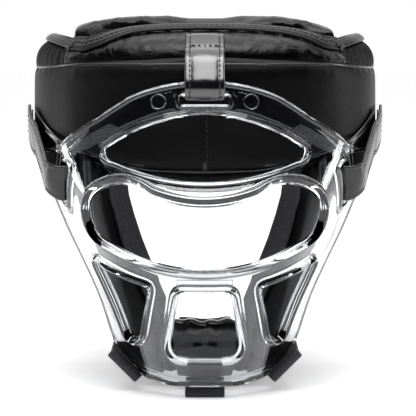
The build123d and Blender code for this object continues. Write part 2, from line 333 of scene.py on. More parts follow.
def openCellFoam(name, look):
    # cut polyurethane foam, and with finer dark cells the hooks of a hook tape: matte and pitted
    material, tree, place = newMaterial(name)
    cells = addNode(tree, "ShaderNodeTexVoronoi", {"Scale": 1000 / look["cell"], "Randomness": 0.8},
                    {"Vector": place})
    tint = addNode(tree, "ShaderNodeValToRGB",
                   {"ramp": [(0, toLinear(look["pore"])), (1, toLinear(look["colour"]))]}, {"Fac": cells})
    lift = addNode(tree, "ShaderNodeBump", {"Strength": 0.7, "Distance": 0.0008},
                   {"Height": cells})
    shader = addNode(tree, "ShaderNodeBsdfPrincipled", {"Roughness": 0.9, "IOR": 1.45},
                     {"Base Color": tint, "Normal": lift})
    addNode(tree, "ShaderNodeOutputMaterial", {}, {"Surface": shader})
    return material


threadLook = dict(colour="#0c0c0d", light="#232327", twist=0.7)
bindingThread = dict(colour="#2a2a2d", light="#6b6b70", twist=0.7)


def bondedThread(name, look):
    # bonded nylon sewing thread: a soft shine that lets each stitch catch the light
    material, tree, place = newMaterial(name)
    twist = addNode(tree, "ShaderNodeTexNoise", {"Scale": 1000 / look["twist"], "Detail": 2}, {"Vector": place})
    tint = addNode(tree, "ShaderNodeValToRGB",
                   {"ramp": [(0, toLinear(look["colour"])), (1, toLinear(look["light"]))]}, {"Fac": twist})
    lift = addNode(tree, "ShaderNodeBump", {"Strength": 0.4, "Distance": 0.0002},
                   {"Height": twist})
    shader = addNode(tree, "ShaderNodeBsdfPrincipled", {"Roughness": 0.38, "IOR": 1.53},
                     {"Base Color": tint, "Normal": lift})
    addNode(tree, "ShaderNodeOutputMaterial", {}, {"Surface": shader})
    return material


padSkin = embossedPuLeather("embossed_pu_leather", matteLeather)
strapSkin = embossedPuLeather("smooth_pu_leather", smoothLeather)
crownSkin = embossedPuLeather("crinkled_pu_leather", crownLeather)
browSkin = embossedPuLeather("glossy_pu_leather", patentLeather)
pipingSkin = embossedPuLeather("pu_piping", pipingLeather)
clearShell = mouldedPolycarbonate("moulded_polycarbonate", clearSheet)
webbing = wovenWebbing("polypropylene_webbing", webbingLook)
blackKnit = knittedLining("black_knit", knitLook)
creamCloth = knittedLining("cream_cotton", creamLook)
loopPile = knittedLining("nylon_loop_pile", loopLook)
foamCore = openCellFoam("open_cell_foam", foamLook)
hookPile = openCellFoam("nylon_hook_tape", hookLook)
thread = bondedThread("bonded_thread", threadLook)
paleThread = bondedThread("bonded_thread_grey", bindingThread)
print("materials made")


stitchLook = dict(pitch=3.6, length=2.7, radius=0.38)


def tubeFaces(sides, rings):
    # quads between rings of points, with a cap at each end
    faces = []
    for i in range(rings - 1):
        for k in range(sides):
            a, b = i * sides + k, i * sides + (k + 1) % sides
            faces.append((a, b, b + sides, a + sides))
    return faces + [tuple(sides - 1 - k for k in range(sides)), tuple((rings - 1) * sides + k for k in range(sides))]


def gridFaces(columns, rows):
    # quads over a grid whose points run up each column in turn
    faces = []
    for i in range(columns):
        for j in range(rows):
            a = i * (rows + 1) + j
            faces.append((a, a + rows + 1, a + rows + 2, a + 1))
    return faces


def stitchRow(name, points, lift, body, pitch=None, radius=None, yarn=None):
    # short rounded stitches laid end to end on the path, each dipping in at both ends
    pitch = (pitch or stitchLook["pitch"]) * mm
    half = pitch * stitchLook["length"] / stitchLook["pitch"] / 2
    radius = (radius or stitchLook["radius"]) * mm
    path = evenPath(points, pitch / 4)
    verts, faces = [], []
    for i in range(2, len(path) - 2, 4):
        along = (path[i + 2] - path[i - 2]).normalized()
        up = lift[min(len(lift) - 1, round(i / len(path) * (len(lift) - 1)))] if isinstance(lift, list) else lift
        up = (up - along * up.dot(along)).normalized()
        side = along.cross(up)
        first = len(verts)
        for share, size in ((-1, 0.35), (-0.72, 0.9), (0, 1.1), (0.72, 0.9), (1, 0.35)):
            centre = path[i] + along * half * share + up * radius * (0.55 - 0.8 * share * share)
            for k in range(6):
                turn = k * math.pi / 3
                verts.append(centre + (side * math.cos(turn) + up * math.sin(turn)) * radius * size)
        faces += [tuple(first + k for k in face) for face in tubeFaces(6, 5)]
    return addPiece(name, verts, faces, yarn or thread, body)


def pipe(name, points, radius, material, body, closed=False, step=2.0, pucker=0.0):
    path = evenPath(points, step * mm, closed)
    sides, n = 10, len(path)
    verts, faces = [], []
    up = Vector((0.2, 0.3, 1)).normalized()
    for i, centre in enumerate(path):
        ahead = path[(i + 1) % n] if closed or i + 1 < n else centre
        behind = path[i - 1] if closed or i > 0 else centre
        along = (ahead - behind).normalized()
        up = (up - along * up.dot(along)).normalized()
        side = along.cross(up)
        size = radius * mm * (1 + pucker * math.sin(i * 2.1) * math.sin(i * 0.37))
        if not closed and i in (0, n - 1):
            size *= 0.5
        for k in range(sides):
            turn = 2 * math.pi * k / sides
            verts.append(centre + (side * math.cos(turn) + up * math.sin(turn)) * size)
    for i in range(n if closed else n - 1):
        shift = 0
        if closed and i == n - 1:
            # the frame may have turned on its way round, so the last ring joins to its nearest corners
            ring = [verts[k] for k in range(sides)]
            shift = min(range(sides), key=lambda s: (verts[i * sides] - ring[s]).length)
        for k in range(sides):
            a, b = i * sides + k, i * sides + (k + 1) % sides
            c = (i + 1) % n * sides + (k + 1 + shift) % sides
            d = (i + 1) % n * sides + (k + shift) % sides
            faces.append((a, d, c, b))
    if not closed:
        faces.append(tuple(range(sides)))
        faces.append(tuple((n - 1) * sides + sides - 1 - k for k in range(sides)))
    return addPiece(name, verts, faces, material, body)


def ribbon(name, stations, width, thickness, material, body, node=None, groove=0.3, roundEnd=True):
    # stations are (point on the underside's middle, outward normal, direction across)
    half, thick, edge = width / 2 * mm, thickness * mm, min(thickness * 0.4, 1.1) * mm
    inset = 3.2 * mm
    top = [(-half, edge), (-half + edge * 0.3, thick - edge * 0.3), (-half + edge, thick),
           (-half + inset - mm, thick + 0.1 * mm), (-half + inset, thick - groove * mm),
           (-half + inset + mm, thick + 0.15 * mm), (0, thick + 0.35 * mm)]
    section = top + [(-x, y) for x, y in reversed(top[:-1])]
    section += [(half - edge * 0.3, edge * 0.3), (half - edge, 0), (0, 0), (-half + edge, 0),
                (-half + edge * 0.3, edge * 0.3)]
    verts, n = [], len(stations)
    for i, (point, normal, across) in enumerate(stations):
        # the far end narrows over its last stations into rounded corners
        left = (n - 1 - i) / 3 if roundEnd else 9
        narrow = 1 if left >= 1 else 0.8 + 0.2 * math.sqrt(max(0, 1 - (1 - left) ** 2))
        verts += [Vector(point) + Vector(across) * x * narrow + Vector(normal) * y for x, y in section]
    piece = addPiece(name, verts, tubeFaces(len(section), n), material, body, node)
    outwardFaces(piece)
    for polygon in piece.data.polygons:
        polygon.use_smooth = len(polygon.vertices) < 10
    return piece


def strapStitches(name, stations, width, thickness, body, ends=(2, 2), across=True, yarn=None):
    # a row along each edge, and one across the strap near its far end
    inner = stations[ends[0]:len(stations) - ends[1]]
    reach = (width / 2 - 3.2) * mm
    lift = [Vector(normal) for _, normal, _ in inner]
    rows = []
    for tag, side in (("a", 1), ("b", -1)):
        path = [Vector(p) + Vector(c) * reach * side + Vector(u) * (thickness - 0.15) * mm for p, u, c in inner]
        rows.append(stitchRow(f"{name}_{tag}", path, lift, body, yarn=yarn))
    if across:
        p, u, c = inner[-1]
        middle = Vector(p) + Vector(u) * (thickness + 0.05) * mm
        path = [middle + Vector(c) * reach * share for share in (-0.9, -0.3, 0.3, 0.9)]
        rows.append(stitchRow(f"{name}_c", path, Vector(u), body))
    return rows


padLook = dict(
    forehead=dict(voxel=4.2, shrink=0.9, cap=1.5, smooth=5, fill=0.8, limit=0.7),
    cheek=dict(voxel=3.8, shrink=1.2, cap=3.0, smooth=6, fill=0.7, limit=1.6),
    ear=dict(voxel=3.8, shrink=1.2, cap=3.0, smooth=6, fill=0.7, limit=1.6),
    rear=dict(voxel=4.5, shrink=1.5, cap=4.0, smooth=8, fill=0.75, limit=2.2),
    chin=dict(voxel=3.0, shrink=0.6, cap=4.0, smooth=5, fill=0.8, limit=2.6),
    crown_rear=dict(voxel=4.5, shrink=1.5, cap=5.0, smooth=7, fill=0.8, limit=3.0),
)


def inflate(piece, cap):
    # gentle air pressure with gravity off; no point may move further than the cap
    start = readPoints(piece.data)
    cloth = piece.modifiers.new("Cloth", "CLOTH")
    cloth.settings.quality = 4
    cloth.settings.mass = 0.3
    cloth.settings.use_pressure = True
    cloth.settings.uniform_pressure_force = 4
    cloth.settings.tension_stiffness = 12
    cloth.settings.compression_stiffness = 12
    cloth.settings.bending_stiffness = 0.6
    cloth.settings.effector_weights.gravity = 0
    cloth.collision_settings.use_collision = False
    cloth.point_cache.frame_start = 1
    cloth.point_cache.frame_end = 20
    for number in range(1, 21):
        scene.frame_set(number)
    bakeModifiers(piece)
    scene.frame_set(1)
    move = readPoints(piece.data) - start
    size = np.linalg.norm(move, axis=1, keepdims=True) + 1e-9
    writePoints(piece.data, start + move * np.minimum(1, cap * mm / size))


def puffedPad(name, nodes, look):
    joined = bmesh.new()
    for node in nodes:
        joined.from_mesh(bpy.data.objects[node].data)
    mesh = bpy.data.meshes.new(name)
    joined.to_mesh(mesh)
    joined.free()
    solid = surfaceTree(mesh)
    piece = addObject(name, mesh)
    remesh = piece.modifiers.new("Remesh", "REMESH")
    remesh.mode = "VOXEL"
    remesh.voxel_size = look["voxel"] * mm
    soften = piece.modifiers.new("Smooth", "SMOOTH")
    soften.iterations = look["smooth"]
    soften.factor = 0.5
    bakeModifiers(piece)
    points = readPoints(piece.data)
    outward = np.array([v.normal[:] for v in piece.data.vertices])
    writePoints(piece.data, points - outward * look["shrink"] * mm)
    inflate(piece, look["cap"])
    subdivide(piece)
    # nothing stands further proud of the CAD solid than the limit
    for vertex in piece.data.vertices:
        near, face, _, _ = solid.find_nearest(vertex.co)
        out = vertex.co - near
        if out.dot(face) > 0 and out.length > look["limit"] * mm:
            vertex.co = near + out.normalized() * look["limit"] * mm
    piece.data.materials.clear()
    piece.data.materials.append(padSkin)
    return piece


def sewChannel(piece, points, depth, width, puckers=0.0, pitch=7.0, closed=False):
    # presses a seam into the pad along a path, with small puckers running away from it
    path = evenPath(points, 1.0 * mm, closed)
    tree = KDTree(len(path))
    for i, point in enumerate(path):
        tree.insert(point, i)
    tree.balance()
    normals = [v.normal.copy() for v in piece.data.vertices]
    for vertex, normal in zip(piece.data.vertices, normals):
        _, i, far = tree.find(vertex.co)
        if far < width * 3 * mm:
            sunk = math.exp(-(far / (width * mm)) ** 2) * depth
            ripple = math.sin(i / pitch * 2 * math.pi) + 0.5 * math.sin(i / pitch * 3.7 + 1)
            sunk += puckers * ripple * math.exp(-(far / (width * 1.8 * mm)) ** 2)
            vertex.co -= normal * sunk * mm
    piece.data.update()


def surfacePath(piece, rays):
    # where rays from outside meet the pad: a list of points and the surface normals there
    tree = surfaceTree(piece.data)
    points, normals = [], []
    for origin, direction in rays:
        hit, normal, _, _ = tree.ray_cast(Vector(origin), Vector(direction).normalized())
        if hit is not None:
            points.append(hit)
            normals.append(normal)
    return points, normals


def bandRays(turns, heights):
    # rays that aim at the band from outside, square to it in plan
    rays = []
    for turn, height in zip(turns, heights):
        x, y = planPoint(0.25, 0.26, turn)
        rays.append(((x, y, height * mm), (-x, -y, 0)))
    return rays


def mirroredPiece(piece, body, node=None):
    # the right-hand copy of a left-hand piece
    name = piece.name.replace("left", "right")
    mesh = piece.data.copy()
    mesh.name = name
    for vertex in mesh.vertices:
        vertex.co.x = -vertex.co.x
    mesh.flip_normals()
    return declare(addObject(name, mesh), body, node)


liningLook = dict(reach=2.8, facing=0.35, proud=0.5, thickness=1.0, fill=0.2)


def liningSkin(piece, liningNode, name, facesDown):
    # the head side of the pad gets a soft lining, cut from the pad's own surface and laid on it
    lining = bpy.data.objects[liningNode].data
    whole = bmesh.new()
    whole.from_mesh(piece.data)
    tree = surfaceTree(lining)
    drop = []
    for face in whole.faces:
        middle = face.calc_center_median()
        fromHead = Vector((middle.x, middle.y, 0)).normalized()
        facing = -face.normal.z if facesDown else -face.normal.dot(fromHead)
        if tree.find_nearest(middle)[3] > liningLook["reach"] * mm or facing < liningLook["facing"]:
            drop.append(face)
    bmesh.ops.delete(whole, geom=drop, context="FACES")
    # only the largest patch is kept
    whole.faces.ensure_lookup_table()
    seen, best = set(), []
    for face in whole.faces:
        if face in seen:
            continue
        patch, queue = [], [face]
        seen.add(face)
        while queue:
            here = queue.pop()
            patch.append(here)
            for edge in here.edges:
                for other in edge.link_faces:
                    if other not in seen:
                        seen.add(other)
                        queue.append(other)
        if len(patch) > len(best):
            best = patch
    keep = set(best)
    bmesh.ops.delete(whole, geom=[f for f in whole.faces if f not in keep], context="FACES")
    for _ in range(14):
        moved = {}
        for vertex in whole.verts:
            if vertex.is_boundary:
                near = [e.other_vert(vertex).co for e in vertex.link_edges if e.is_boundary]
                if len(near) == 2:
                    moved[vertex] = vertex.co * 0.4 + (near[0] + near[1]) * 0.3
        for vertex, place in moved.items():
            vertex.co = place
    loops = []
    left = dict.fromkeys(e for e in whole.edges if e.is_boundary)  # in the mesh's order, the same each run
    while left:
        edge, _ = left.popitem()
        chain = [edge.verts[0], edge.verts[1]]
        while True:
            step = next((e for e in chain[-1].link_edges if e in left), None)
            if step is None:
                break
            del left[step]
            chain.append(step.other_vert(chain[-1]))
        loops.append([v.co + v.normal * 0.3 * mm for v in chain[:-1]])
    for vertex in whole.verts:
        vertex.co += vertex.normal * liningLook["proud"] * mm
    mesh = bpy.data.meshes.new(name)
    whole.to_mesh(mesh)
    whole.free()
    skin = addObject(name, mesh)
    solidify(skin, liningLook["thickness"], -0.6)
    bakeModifiers(skin)
    skin.data.materials.clear()
    skin.data.materials.append(blackKnit)
    declare(skin, "guard", liningNode)
    return skin, max(loops, key=len)


def finishPad(piece, name, facesDown=False):
    # rides, replaces its CAD cover and lining, and gets its lining skin and the piping round it
    declare(piece, "guard", name + "_cover")
    skin, loop = liningSkin(piece, name + "_lining", name + "_lining_skin", facesDown)
    edge = pipe(name + "_piping", loop[::2], 0.9, pipingSkin, "guard", closed=True, step=2.5,
                pucker=0.12)
    return skin, edge


def buildPair(kind):
    look = padLook[kind]
    left = "left_" + kind
    piece = puffedPad(left + "_pad", [f"{left}_{layer}" for layer in ("cover", "foam", "lining")], look)
    shapePad(kind, piece)
    skin, edge = finishPad(piece, left)
    right = "right_" + kind
    mirroredPiece(piece, "guard", right + "_cover")
    mirroredPiece(skin, "guard", right + "_lining")
    mirroredPiece(edge, "guard")
    return piece


earHole = dict(middle=(8, 102), size=(34, 24))


def shapePad(kind, piece):
    if kind == "cheek":
        # the front edge stands back from the eye opening, further at mid height
        for vertex in piece.data.vertices:
            back = float(np.interp(vertex.co.z / mm, (9, 50, 75, 97, 112, 125, 165), (3, 6, 9, 9.7, 7.5, 6, 2)))
            share = clamp((70 - vertex.co.x / mm) / 40)
            vertex.co.x += back * share * mm
        piece.data.update()
        # one soft crease down the middle of the cheek, where its two panels meet
        heights = np.linspace(14, 148, 24)
        rays = bandRays([47 + 2 * math.sin(z / 30) for z in heights], heights)
        points, _ = surfacePath(piece, rays)
        sewChannel(piece, points, 1.1, 2.2, 0.25, 9)
    if kind == "rear":
        for turn in (122, 148):
            heights = np.linspace(119, 205, 18)
            points, _ = surfacePath(piece, bandRays([turn] * 18, heights))
            sewChannel(piece, points, 1.6, 2.4, 0.3, 8)


def mirrorPoints(points):
    return [Vector((-p.x, p.y, p.z)) for p in points]


def rearStitches(left):
    for row, turn in enumerate((122, 148)):
        points, normals = surfacePath(left, bandRays([turn] * 16, np.linspace(124, 200, 16)))
        stitchRow(f"left_rear_stitches_{row}", points, normals, "guard")
        stitchRow(f"right_rear_stitches_{row}", mirrorPoints(points), mirrorPoints(normals), "guard")


def buildForehead():
    look = padLook["forehead"]
    piece = puffedPad("forehead_pad", [f"forehead_{layer}" for layer in ("cover", "foam", "lining")], look)
    points, _ = surfacePath(piece, bandRays([0] * 30, np.linspace(140, 213, 30)))
    sewChannel(piece, points, 1.3, 1.1, 0.16, 6)
    finishPad(piece, "forehead")
    # a seam runs down the middle, stitched beside its groove
    rays = [((1.3 * mm, -0.3, z * mm), (0, 1, 0)) for z in np.linspace(143, 208, 26)]
    points, normals = surfacePath(piece, rays)
    stitchRow("forehead_seam", points, normals, "guard", pitch=3.2, radius=0.34)
    # painted shade: a dark knit roll hangs just below the band's lower edge and stands in for the shadow under the
    # band
    shadeRollPath = []
    for turn in np.linspace(-52, 52, 40):
        x, y = planPoint(94, 103, turn)
        shadeRollPath.append(Vector((x, y, 138.2 + 13 * (x / 90) ** 2)) * mm)
    roll = pipe("forehead_hem", shadeRollPath, 4.4, blackKnit, "guard", step=4, pucker=0.06)
    # piping along the lower edge, where the face of the band turns under
    rays = []
    for turn in np.linspace(-84, 84, 60):
        x, y = planPoint(0.11, 0.119, turn)
        rays.append(((x, y, 0.1), (0, 0, 1)))
    points, normals = surfacePath(piece, rays)
    low = [p + n * 0.4 * mm for p, n in zip(points, normals)]
    pipe("forehead_lower_piping", low, 0.95, strapSkin, "guard", pucker=0.1)
    # and along the upper edge, where the face of the band rolls over
    high = []
    for turn in np.linspace(-93, 93, 90):
        x, y = planPoint(112.6, 121.6, turn)
        high.append(((x * mm, y * mm, 0.26), (0, 0, -1)))
    points, normals = surfacePath(piece, high)
    pipe("forehead_upper_piping", [p + n * 0.1 * mm for p, n in zip(points, normals)], 0.9, strapSkin,
         "guard", pucker=0.08)
    return piece


def buildChin():
    look = padLook["chin"]
    piece = puffedPad("chin_pad", [f"chin_{layer}" for layer in ("cover", "foam", "lining")], look)
    # two stuffed halves: the top edge dips at the middle seam and at the ends
    for vertex in piece.data.vertices:
        x, z = vertex.co.x / mm, vertex.co.z / mm
        top = clamp((z - 20) / 22)
        wave = 1.8 * math.sin(min(1, abs(x) / 34) * math.pi) + 0.6 * math.sin(x * 0.55)
        vertex.co.z += top * wave * mm
        vertex.co.y -= 1.6 * math.sin(clamp((z - 7) / 38) * 2 * math.pi) ** 2 * mm * min(1, abs(x) / 6)
    piece.data.update()
    points, _ = surfacePath(piece, [((0, -0.3, z * mm), (0, 1, 0)) for z in np.linspace(9, 44, 16)])
    sewChannel(piece, points, 1.0, 1.3, 0.15, 6)
    finishPad(piece, "chin")
    piece.data.materials[0] = strapSkin
    across = [((x * mm, -0.3, (27 + 2.2 * math.cos(x / 14)) * mm), (0, 1, 0)) for x in np.linspace(-33, 33, 24)]
    points, _ = surfacePath(piece, across)
    sewChannel(piece, points, 0.7, 1.6, 0.2, 7)


def buildRearCrown():
    look = padLook["crown_rear"]
    piece = puffedPad("crown_rear_pad", [f"crown_rear_{layer}" for layer in ("cover", "foam", "lining")], look)
    # it stands up on both sides of the top strap, and runs on down towards the sides
    for vertex in piece.data.vertices:
        x, y, z = (c / mm for c in vertex.co)
        lift = clamp((abs(x) - 12) / 12) * clamp((z - 222) / 8)
        vertex.co.z += 1.8 * lift * math.cos(min(1, abs(x) / 110) * math.pi / 2) * mm
        spread = clamp((abs(x) - 48) / 38)
        vertex.co.x += math.copysign(6.5 * spread, x) * mm
        vertex.co.z -= (5.0 if x > 0 else 2.0) * spread ** 1.4 * mm
        crease = math.exp(-((y + 24) / 10) ** 2) * (0.5 * math.sin(x * 0.42) + 0.35 * math.sin(x * 0.97 + 1))
        vertex.co.z += crease * mm
    piece.data.update()
    for x in (-44, 44):
        points, _ = surfacePath(piece, [((x * mm, y * mm, 0.4), (0, 0, -1)) for y in np.linspace(14, 98, 22)])
        sewChannel(piece, points, 1.8, 2.6, 0.35, 8)
    lip = [((x * mm, -0.3, (227 - 9 * (x / 86) ** 2) * mm), (0, 1, 0)) for x in np.linspace(-84, 84, 50)]
    points, normals = surfacePath(piece, lip)
    sewChannel(piece, points, 1.0, 1.4, 0.3, 5)
    stitchRow("crown_lip_stitches", [p + n * 0.3 * mm for p, n in zip(points, normals)], normals, "guard",
              pitch=4.2, radius=0.5, yarn=paleThread)
    finishPad(piece, "crown_rear", facesDown=True)
    piece.data.materials[0] = crownSkin
    for tag, x in (("right", -44), ("left", 44)):
        points, normals = surfacePath(piece, [((x * mm, y * mm, 0.4), (0, 0, -1)) for y in np.linspace(18, 92, 24)])
        stitchRow(f"{tag}_crown_stitches", points, normals, "guard")


buildForehead()
buildPair("cheek")
earPad = buildPair("ear")
rearStitches(buildPair("rear"))
buildChin()
buildRearCrown()
print("pads made")


maskLook = dict(
    levels=[(4, 56, 127), (30, 64.5, 140), (56, 72.5, 151), (80, 83, 158), (101, 93, 161), (121, 101.5, 160),
            (138, 108.5, 151), (155, 114, 140.5), (175, 119, 136), (203, 121, 134.2)],
    thickness=3.6, bead=2.0, beadInside=0.5, beadWidth=5.0, edgeStep=1.5, gridStep=3.0,
    rings=(0.6, 1.2, 1.9, 2.6, 3.4, 4.2, 5.1, 6.4, 8.2), round=1.5,
    # how large the bead is round the rim, the eye, lens and mouth openings, the slots and the cheeks
    sizes=(0.34, 1.0, 0.62, 0.95, 0.36, 0.95, 0.95, 0.42, 0.42), browThinner=1.0,
    marks=((-29, 187), (29, 187)), markRadius=4.6,
)


def smoothLevels(z):
    # half width and half depth of the mask at one height, read smoothly between the levels
    rows = maskLook["levels"]
    z = min(max(z, rows[0][0]), rows[-1][0])
    i = max(k for k in range(len(rows) - 1) if rows[k][0] <= z)
    z0, z1 = rows[i][0], rows[i + 1][0]
    t = (z - z0) / (z1 - z0)
    values = []
    for column in (1, 2):
        v0, v1 = rows[i][column], rows[i + 1][column]
        slope0 = (v1 - v0) / (z1 - z0)
        slope1 = slope0
        if i > 0:
            slope0 = (slope0 + (v0 - rows[i - 1][column]) / (z0 - rows[i - 1][0])) / 2
        if i + 2 < len(rows):
            slope1 = (slope1 + (rows[i + 2][column] - v1) / (rows[i + 2][0] - z1)) / 2
        run = z1 - z0
        values.append((2 * t**3 - 3 * t**2 + 1) * v0 + (t**3 - 2 * t**2 + t) * run * slope0
                      + (3 * t**2 - 2 * t**3) * v1 + (t**3 - t**2) * run * slope1)
    return values


class Unrolled:
    # the mask's outer surface laid flat: u is the distance round from the middle, v the height
    def __init__(self):
        self.turns = np.linspace(0, 92, 240)
        self.rows = []
        for z in range(0, 212):
            a, b = smoothLevels(z)
            points = np.array([planPoint(a, b, turn) for turn in self.turns])
            steps = np.linalg.norm(np.diff(points, axis=0), axis=1)
            self.rows.append(np.concatenate([[0], np.cumsum(steps)]))

    def turnAt(self, u, v):
        v = min(max(v, 0), len(self.rows) - 1.001)
        k = int(v)
        low, high = np.interp(abs(u), self.rows[k], self.turns), np.interp(abs(u), self.rows[k + 1], self.turns)
        return math.copysign(low + (high - low) * (v - k), u)

    def point(self, u, v):
        a, b = smoothLevels(v)
        x, y = planPoint(a, b, self.turnAt(u, v))
        return Vector((x, y, v))

    def around(self, turn, z):
        return float(np.interp(abs(turn), self.turns, self.rows[int(round(z))]))

    def fromFront(self, x, z):
        a, _ = smoothLevels(z)
        turn = math.degrees(math.asin(min(1, (abs(x) / a) ** 1.2)))
        return (math.copysign(self.around(turn, z), x), z)

    def fromSide(self, y, z, side=1):
        _, b = smoothLevels(z)
        turn = math.degrees(math.acos(min(1, (max(0, -y) / b) ** 1.2)))
        return (side * self.around(turn, z), z)


def arc(start, middle, end, count=24):
    (x1, y1), (x2, y2), (x3, y3) = start, middle, end
    d = 2 * (x1 * (y2 - y3) + x2 * (y3 - y1) + x3 * (y1 - y2))
    s1, s2, s3 = x1**2 + y1**2, x2**2 + y2**2, x3**2 + y3**2
    cx = (s1 * (y2 - y3) + s2 * (y3 - y1) + s3 * (y1 - y2)) / d
    cy = (s1 * (x3 - x2) + s2 * (x1 - x3) + s3 * (x2 - x1)) / d
    radius = math.hypot(x1 - cx, y1 - cy)
    a1, a2, a3 = (math.atan2(y - cy, x - cx) for x, y in (start, middle, end))
    turn = (a3 - a1) % (2 * math.pi)
    if (a2 - a1) % (2 * math.pi) > turn:
        turn -= 2 * math.pi
    return [(cx + radius * math.cos(a1 + turn * i / count), cy + radius * math.sin(a1 + turn * i / count))
            for i in range(count + 1)]


def evenLoop(points, step, blur=0.0):
    # a closed outline at even spacing, its corners rounded by blurring
    p = np.array(points, float)
    p = np.vstack([p, p[:1]])
    along = np.concatenate([[0], np.cumsum(np.linalg.norm(np.diff(p, axis=0), axis=1))])
    count = max(8, round(along[-1] / step))
    stops = np.linspace(0, along[-1], count, endpoint=False)
    loop = np.column_stack([np.interp(stops, along, p[:, i]) for i in (0, 1)])
    if blur:
        for _ in range(round((blur / step) ** 2 * 4)):
            loop = loop * 0.5 + (np.roll(loop, 1, 0) + np.roll(loop, -1, 0)) * 0.25
    return loop


def leaned(y, z):
    # from the temple bar's leaning frame to depth and height
    lean = math.radians(24)
    return (-88.5 + y * math.cos(lean) - z * math.sin(lean), 136 + y * math.sin(lean) + z * math.cos(lean))


def maskOutlines(flat):
    def both(points):
        return [points, [(-x, z) for x, z in reversed(points)]]

    front = [(0, 7), (22, 7), (38, 10), (57, 24), (60.5, 27)]
    rim = [flat.fromFront(x, z) for x, z in front]
    side = [(-66, 29), (-62, 34), (-58, 60), (-50, 90), (-50, 108), (-50, 122), leaned(22, -14.5),
            leaned(12, -14.5), leaned(4.2, -14.5), leaned(4.2, 0), leaned(4.2, 18.6)]
    rim += [flat.fromSide(y, z) for y, z in side]
    rim += [flat.fromFront(x, z) for x, z in ((104, 154.6), (97, 156), (89, 162), (66, 177), (46, 190))]
    rim += [flat.fromFront(x, z) for x, z in arc((46, 190), (0, 199.2), (-46, 190), 16)[1:8]]
    outer = rim + [(-u, v) for u, v in reversed(rim[1:])]
    eye = arc((-34, 131), (0, 124.5), (34, 131)) + arc((34, 131), (55, 137), (72, 127))[1:]
    eye += arc((72, 127), (72, 108), (60, 98))[1:] + arc((60, 98), (0, 84), (-60, 98))[1:]
    eye += arc((-60, 98), (-72, 108), (-72, 127))[1:] + arc((-72, 127), (-55, 137), (-34, 131))[1:-1]
    lens = arc((-60, 160), (0, 179), (60, 160)) + arc((60, 160), (64, 154), (58, 150))[1:]
    lens += arc((58, 150), (0, 138.3), (-58, 150))[1:] + arc((-58, 150), (-64, 154), (-60, 160))[1:-1]
    mouth = [(-17, 70), (17, 70), (22.5, 36)] + arc((22.5, 36), (19.5, 28), (12, 25.5))[1:]
    mouth += arc((-12, 25.5), (-19.5, 28), (-22.5, 36))
    cheek = arc((69.5, 84.5), (51, 76.5), (35, 72)) + arc((40, 41), (44.5, 36), (50, 39.5), 12)
    browSlot = [(-16, 184.4), (16, 184.4), (16, 191.2), (-16, 191.2)]
    templeSlot = [leaned(-12.7, -15), leaned(-4.2, -15), leaned(-4.2, 15.5), leaned(-12.7, 15.5)]
    holes = [[flat.fromFront(x, z) for x, z in loop] for loop in (eye, lens, mouth, browSlot)]
    holes += both([flat.fromFront(x, z) for x, z in cheek])
    holes += both([flat.fromSide(y, z) for y, z in templeSlot])
    return outer, holes


def insideLoop(points, loop):
    inside = np.zeros(len(points), bool)
    x, y = points[:, 0], points[:, 1]
    for (x1, y1), (x2, y2) in zip(loop, np.roll(loop, -1, 0)):
        if y1 == y2:
            continue
        crosses = (y1 > y) != (y2 > y)
        inside ^= crosses & (x < (x2 - x1) * (y - y1) / (y2 - y1) + x1)
    return inside


def beadHeight(d, look, size):
    # the rounded edge, the raised bead behind it and a small fillet down to the wall
    width, high = look["beadWidth"] * size, look["bead"] * size
    crest = 2.2 * size
    if d >= width:
        return 0.0
    rise = min(1, d / crest)
    fall = clamp((width - d) / (2.0 * size))
    drop = 1.1 * size
    eased = fall * fall * (3 - 2 * fall)
    return (high + drop) * math.sin(rise * math.pi / 2) ** 0.9 * eased - drop * (1 - rise) ** 2


